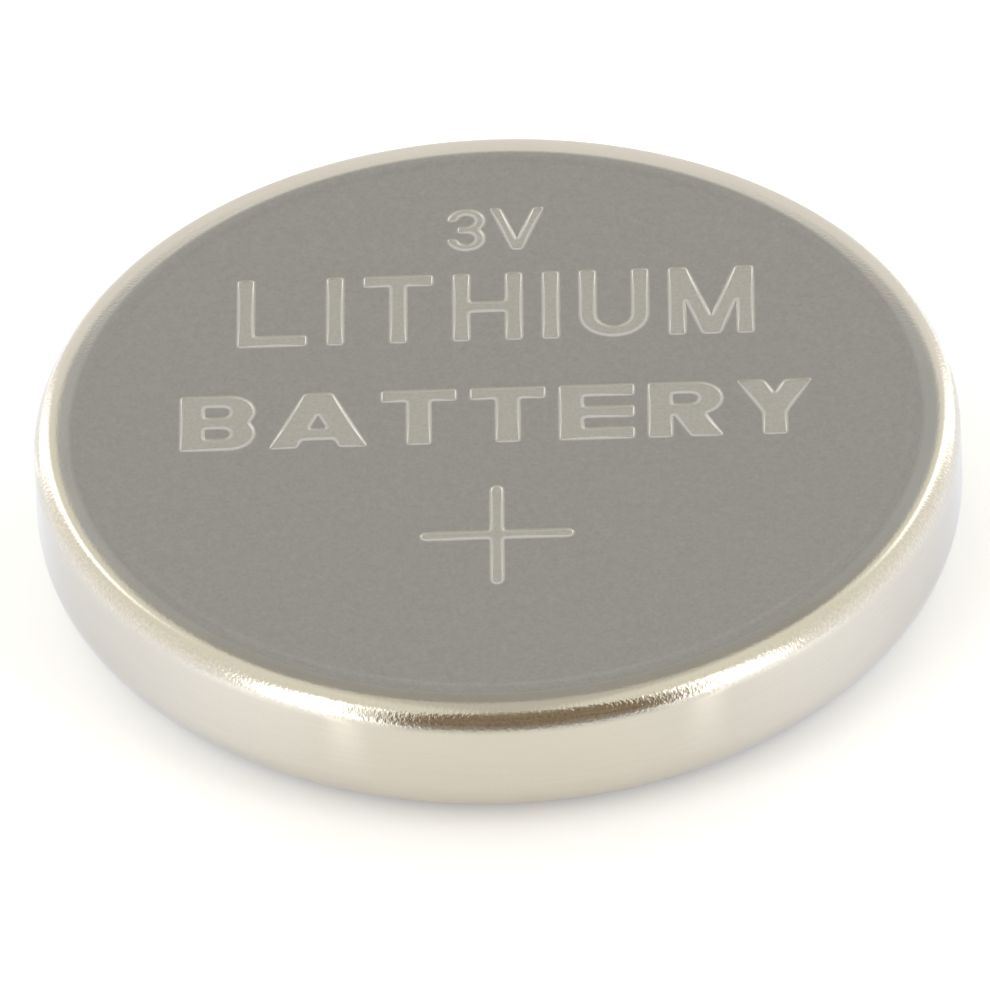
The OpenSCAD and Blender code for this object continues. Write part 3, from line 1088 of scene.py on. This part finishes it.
@dataclass(frozen=True)
class Studio:
    """What the cell mirrors: pale walls, a sweep and a grey card at the back, soft boxes and a dark end.

    The dark end lies behind the camera, and a dimmer strip runs overhead from front to back. A pair of
    numbers is where a smooth change starts and ends: in degrees, for the strip in parts of X, and for
    the clutter in levels of its noise.
    """

    boxes: tuple = (
        SoftBox(-41, half_width=14, top_ends=(61, 71), level=2.3, lean=0.3, spill=0.5,
                streak_off=3.75, streak=0.36),
        SoftBox(53, half_width=12, top_ends=(57, 67), level=2.3, lean=0.22, spill=0.4,
                streak_off=4.6, streak=0.34),
        SoftBox(-138, half_width=8, top_ends=(45, 55), level=2.0, lean=0.24, spill=0.45),
        SoftBox(138, half_width=8, top_ends=(43, 53), level=2.0, lean=0.24, spill=0.45))
    sweep: tuple = (1.0, 1.0, 1.0)
    sweep_ends: tuple = (33.5, 35.5)
    back_starts: tuple = (138.0, 166.0)
    card_low: tuple = (0.505, 0.535, 0.57)
    card_high: tuple = (0.415, 0.412, 0.395)
    card_changes: tuple = (42.5, 46.0)
    card_ends: tuple = (49.5, 51.5)
    card_starts: tuple = (166.0, 171.0)
    walls_low: tuple = (1.15, 1.15, 1.15)
    walls_high: tuple = (0.98, 0.985, 0.90)
    walls_change: tuple = (0.0, 56.0)
    strip: tuple = (0.70, 0.685, 0.62)
    strip_ends: tuple = (0.035, 0.125)
    dark: tuple = (0.19, 0.135, 0.085)
    dusk: tuple = (0.42, 0.345, 0.25)
    clutter: Clouds = Clouds(13.0, 3.0, 0.6)
    clutter_shape: tuple = (1.0, 1.0, 0.45)
    clutter_changes: tuple = (0.32, 0.68)
    haze: tuple = (0.42, 0.38, 0.35)
    haze_ends: tuple = (-2.0, 22.0)
    dark_from: float = -24.5
    dark_to: float = 38.5
    dark_lean: float = 0.08
    dark_soft: float = 9.0
    dark_ends: tuple = (66.0, 98.0)

    def gloom(self, bearing: Wire, rise: Wire | float = 0.0) -> Wire:
        """How far a direction lies in the dark end, which widens upwards."""
        spread = rise * self.dark_lean
        return bearing.band(self.dark_from - spread, self.dark_to + spread, self.dark_soft)

    def build(self) -> None:
        """Fills the world: white to the camera, and the studio to everything else."""
        world = bpy.data.worlds.new("studio")
        bpy.context.scene.world = world
        g = Graph(world)
        heading = g.node("ShaderNodeTexCoord", out="Generated")
        x, y, z = g.parts(heading)
        rise = z.of("ARCSINE") * math.degrees(1)
        bearing = bearing_of(x, y)
        off_front = bearing.of("ABSOLUTE")
        high = x.of("ABSOLUTE").step(*self.strip_ends).tint(self.strip, self.walls_high)
        over = rise.step(*self.sweep_ends)
        walls = rise.step(*self.walls_change).tint(self.walls_low, high)
        colour = off_front.step(*self.back_starts).tint(walls, over.tint(self.sweep, high))
        card = off_front.step(*self.card_starts) * over * (1 - rise.step(*self.card_ends))
        colour = card.tint(colour, rise.step(*self.card_changes).tint(self.card_low, self.card_high))
        clutter = g.noise(g.stretched(heading, self.clutter_shape), self.clutter)
        clutter = clutter.step(*self.clutter_changes).tint(self.dark, self.dusk)
        clutter = rise.step(*self.haze_ends).tint(self.haze, clutter)
        colour = (self.gloom(bearing, rise) * (1 - rise.step(*self.dark_ends))).tint(colour, clutter)
        for box in self.boxes:
            colour = box.patch(bearing, rise).tint(colour, (box.level,) * 3)
        seen = g.ray("Camera").tint(colour, (1.0, 1.0, 1.0))
        shader = g.node("ShaderNodeBackground", values={"Color": seen, "Strength": 1.0})
        g.node("ShaderNodeOutputWorld", values={"Surface": shader})
        log.info("studio: %d soft boxes", len(self.boxes))


@dataclass(frozen=True)
class Table:
    """The plain pale floor, which keeps the cell's shadow.

    The camera sees it lifted to full white. Polished metal sees a painted glow on it: painted pools of light
    towards the soft boxes and painted shade towards the dark end, both by the distance from the cell. The
    dark end is narrower on the table by a factor. Pairs of bearings are where a smooth change starts and
    ends.
    """

    studio: Studio
    radius: float = 1500.0
    rings: int = 13
    drop: float = 0.02
    colour: tuple = (0.92, 0.92, 0.915)
    camera_glow: float = 0.26
    # Painted glow that only polished metal sees on the table: in front, at the sides and at the back.
    front_painted_glow: tuple = (0.155, 0.162, 0.165)
    side_painted_glow: tuple = (0.195, 0.24, 0.35)
    sides_start: tuple = (0.0, 60.0)
    back_painted_glow: tuple = (0.0, 0.0, 0.0)
    back_starts: tuple = (132.0, 165.0)
    cell_radius: float = CELL_RADIUS
    # Strength of the painted shade that polished metal sees on the table towards the dark end.
    dim: float = 0.62
    dim_starts: float = 3.0
    narrowing: float = 1.35

    def build(self) -> None:
        """Makes the disc. Its radius grows ring by ring, as the square of the ring's number."""
        ring = np.linspace(0, 1, self.rings) ** 2 * self.radius
        surface, _ = weld([lathe(np.column_stack([ring, np.full(self.rings, -self.drop)]))])
        table = new_object("table", surface, self.material())

    def material(self) -> bpy.types.Material:
        """Matt white, with what the camera sees of it, and a painted glow and painted shade that only
        polished metal sees.

        Returns:
            The material.
        """
        g = Graph(bpy.data.materials.new("white_table"))
        x, y, _ = g.parts(g.place())
        bearing = bearing_of(x, y)
        off_front = bearing.of("ABSOLUTE")
        away = ((x * x + y * y).of("SQRT") - self.cell_radius).of("MAXIMUM", 0.0)
        mirror = g.ray("Glossy")
        camera = g.ray("Camera").of("MAXIMUM", g.ray("Transmission"))
        fade = grown((away - self.dim_starts).of("MAXIMUM", 0.0))
        # Painted shade: the table's colour darkened towards the dark end, for glossy rays only.
        dim = mirror * self.studio.gloom(bearing * self.narrowing) * fade * self.dim
        # Painted pools and streaks of soft-box light on the table.
        painted_pools = sum(box.pool(x, y, bearing, away) for box in self.studio.boxes)
        # Painted glow for glossy rays, by bearing, plus the painted pools of the soft boxes.
        painted_glow = off_front.step(*self.sides_start).tint(self.front_painted_glow, self.side_painted_glow)
        painted_glow = off_front.step(*self.back_starts).tint(painted_glow, self.back_painted_glow)
        painted_glow = g.node("ShaderNodeVectorMath", {"operation": "ADD"}, {0: painted_glow, 1: painted_pools})
        painted_glow = g.scaled(g.scaled(painted_glow, mirror), 1 - dim)
        return g.end({"Base Color": g.scaled(self.colour, 1 - dim), "Roughness": 1.0,
                      "Specular IOR Level": 0.0, "Emission Strength": 1.0,
                      "Emission Color": camera.tint(painted_glow, (self.camera_glow,) * 3)})


@dataclass(frozen=True)
class Viewpoint:
    """The camera: where it stands, and where the middle of the cell's face falls in the picture."""

    elevation: float = 39.52
    bearing: float = 1.45
    roll: float = 2.68
    distance: float = 450.0
    face_z: float = CELL_HEIGHT
    sensor: float = 36.0
    pixels_per_mm: float = 46.418
    picture: float = 990.0
    face_pixel: tuple = (496.15, 418.58)

    def build(self) -> None:
        """Places the camera so that the face's middle falls on its pixel, with no lens shift."""
        el, az, roll = (math.radians(a) for a in (self.elevation, self.bearing, self.roll))
        back = Vector((math.sin(az) * math.cos(el), -math.cos(az) * math.cos(el), math.sin(el)))
        right = Vector((math.cos(az), math.sin(az), 0))
        up = back.cross(right)
        across = math.cos(roll) * right - math.sin(roll) * up
        upward = math.sin(roll) * right + math.cos(roll) * up
        middle = self.picture / 2
        aim = (Vector((0, 0, self.face_z))
               - across * ((self.face_pixel[0] - middle) / self.pixels_per_mm)
               - upward * ((middle - self.face_pixel[1]) / self.pixels_per_mm))
        lens = bpy.data.cameras.new("camera")
        lens.sensor_width = self.sensor
        lens.lens = self.pixels_per_mm * self.distance * lens.sensor_width / self.picture
        camera = bpy.data.objects.new("camera", lens)
        turn = Matrix((across, upward, back)).transposed().to_4x4()
        camera.matrix_world = Matrix.Translation((aim + back * self.distance) * MM) @ turn
        bpy.context.scene.collection.objects.link(camera)
        bpy.context.scene.camera = camera
        log.info("camera: lens %.1f mm, %.0f mm away", lens.lens, self.distance)


def main() -> None:
    """Builds the cell from the outside in, then its surroundings."""
    bpy.context.scene.view_settings.view_transform = "Standard"
    can, cap = PositiveCan(), NegativeCap()
    can.build()
    cap.build()
    Gasket(can, cap).build()
    Stack(can, cap).build()
    studio = Studio()
    studio.build()
    Table(studio).build()
    Viewpoint().build()


if __name__ == "__main__":
    main()
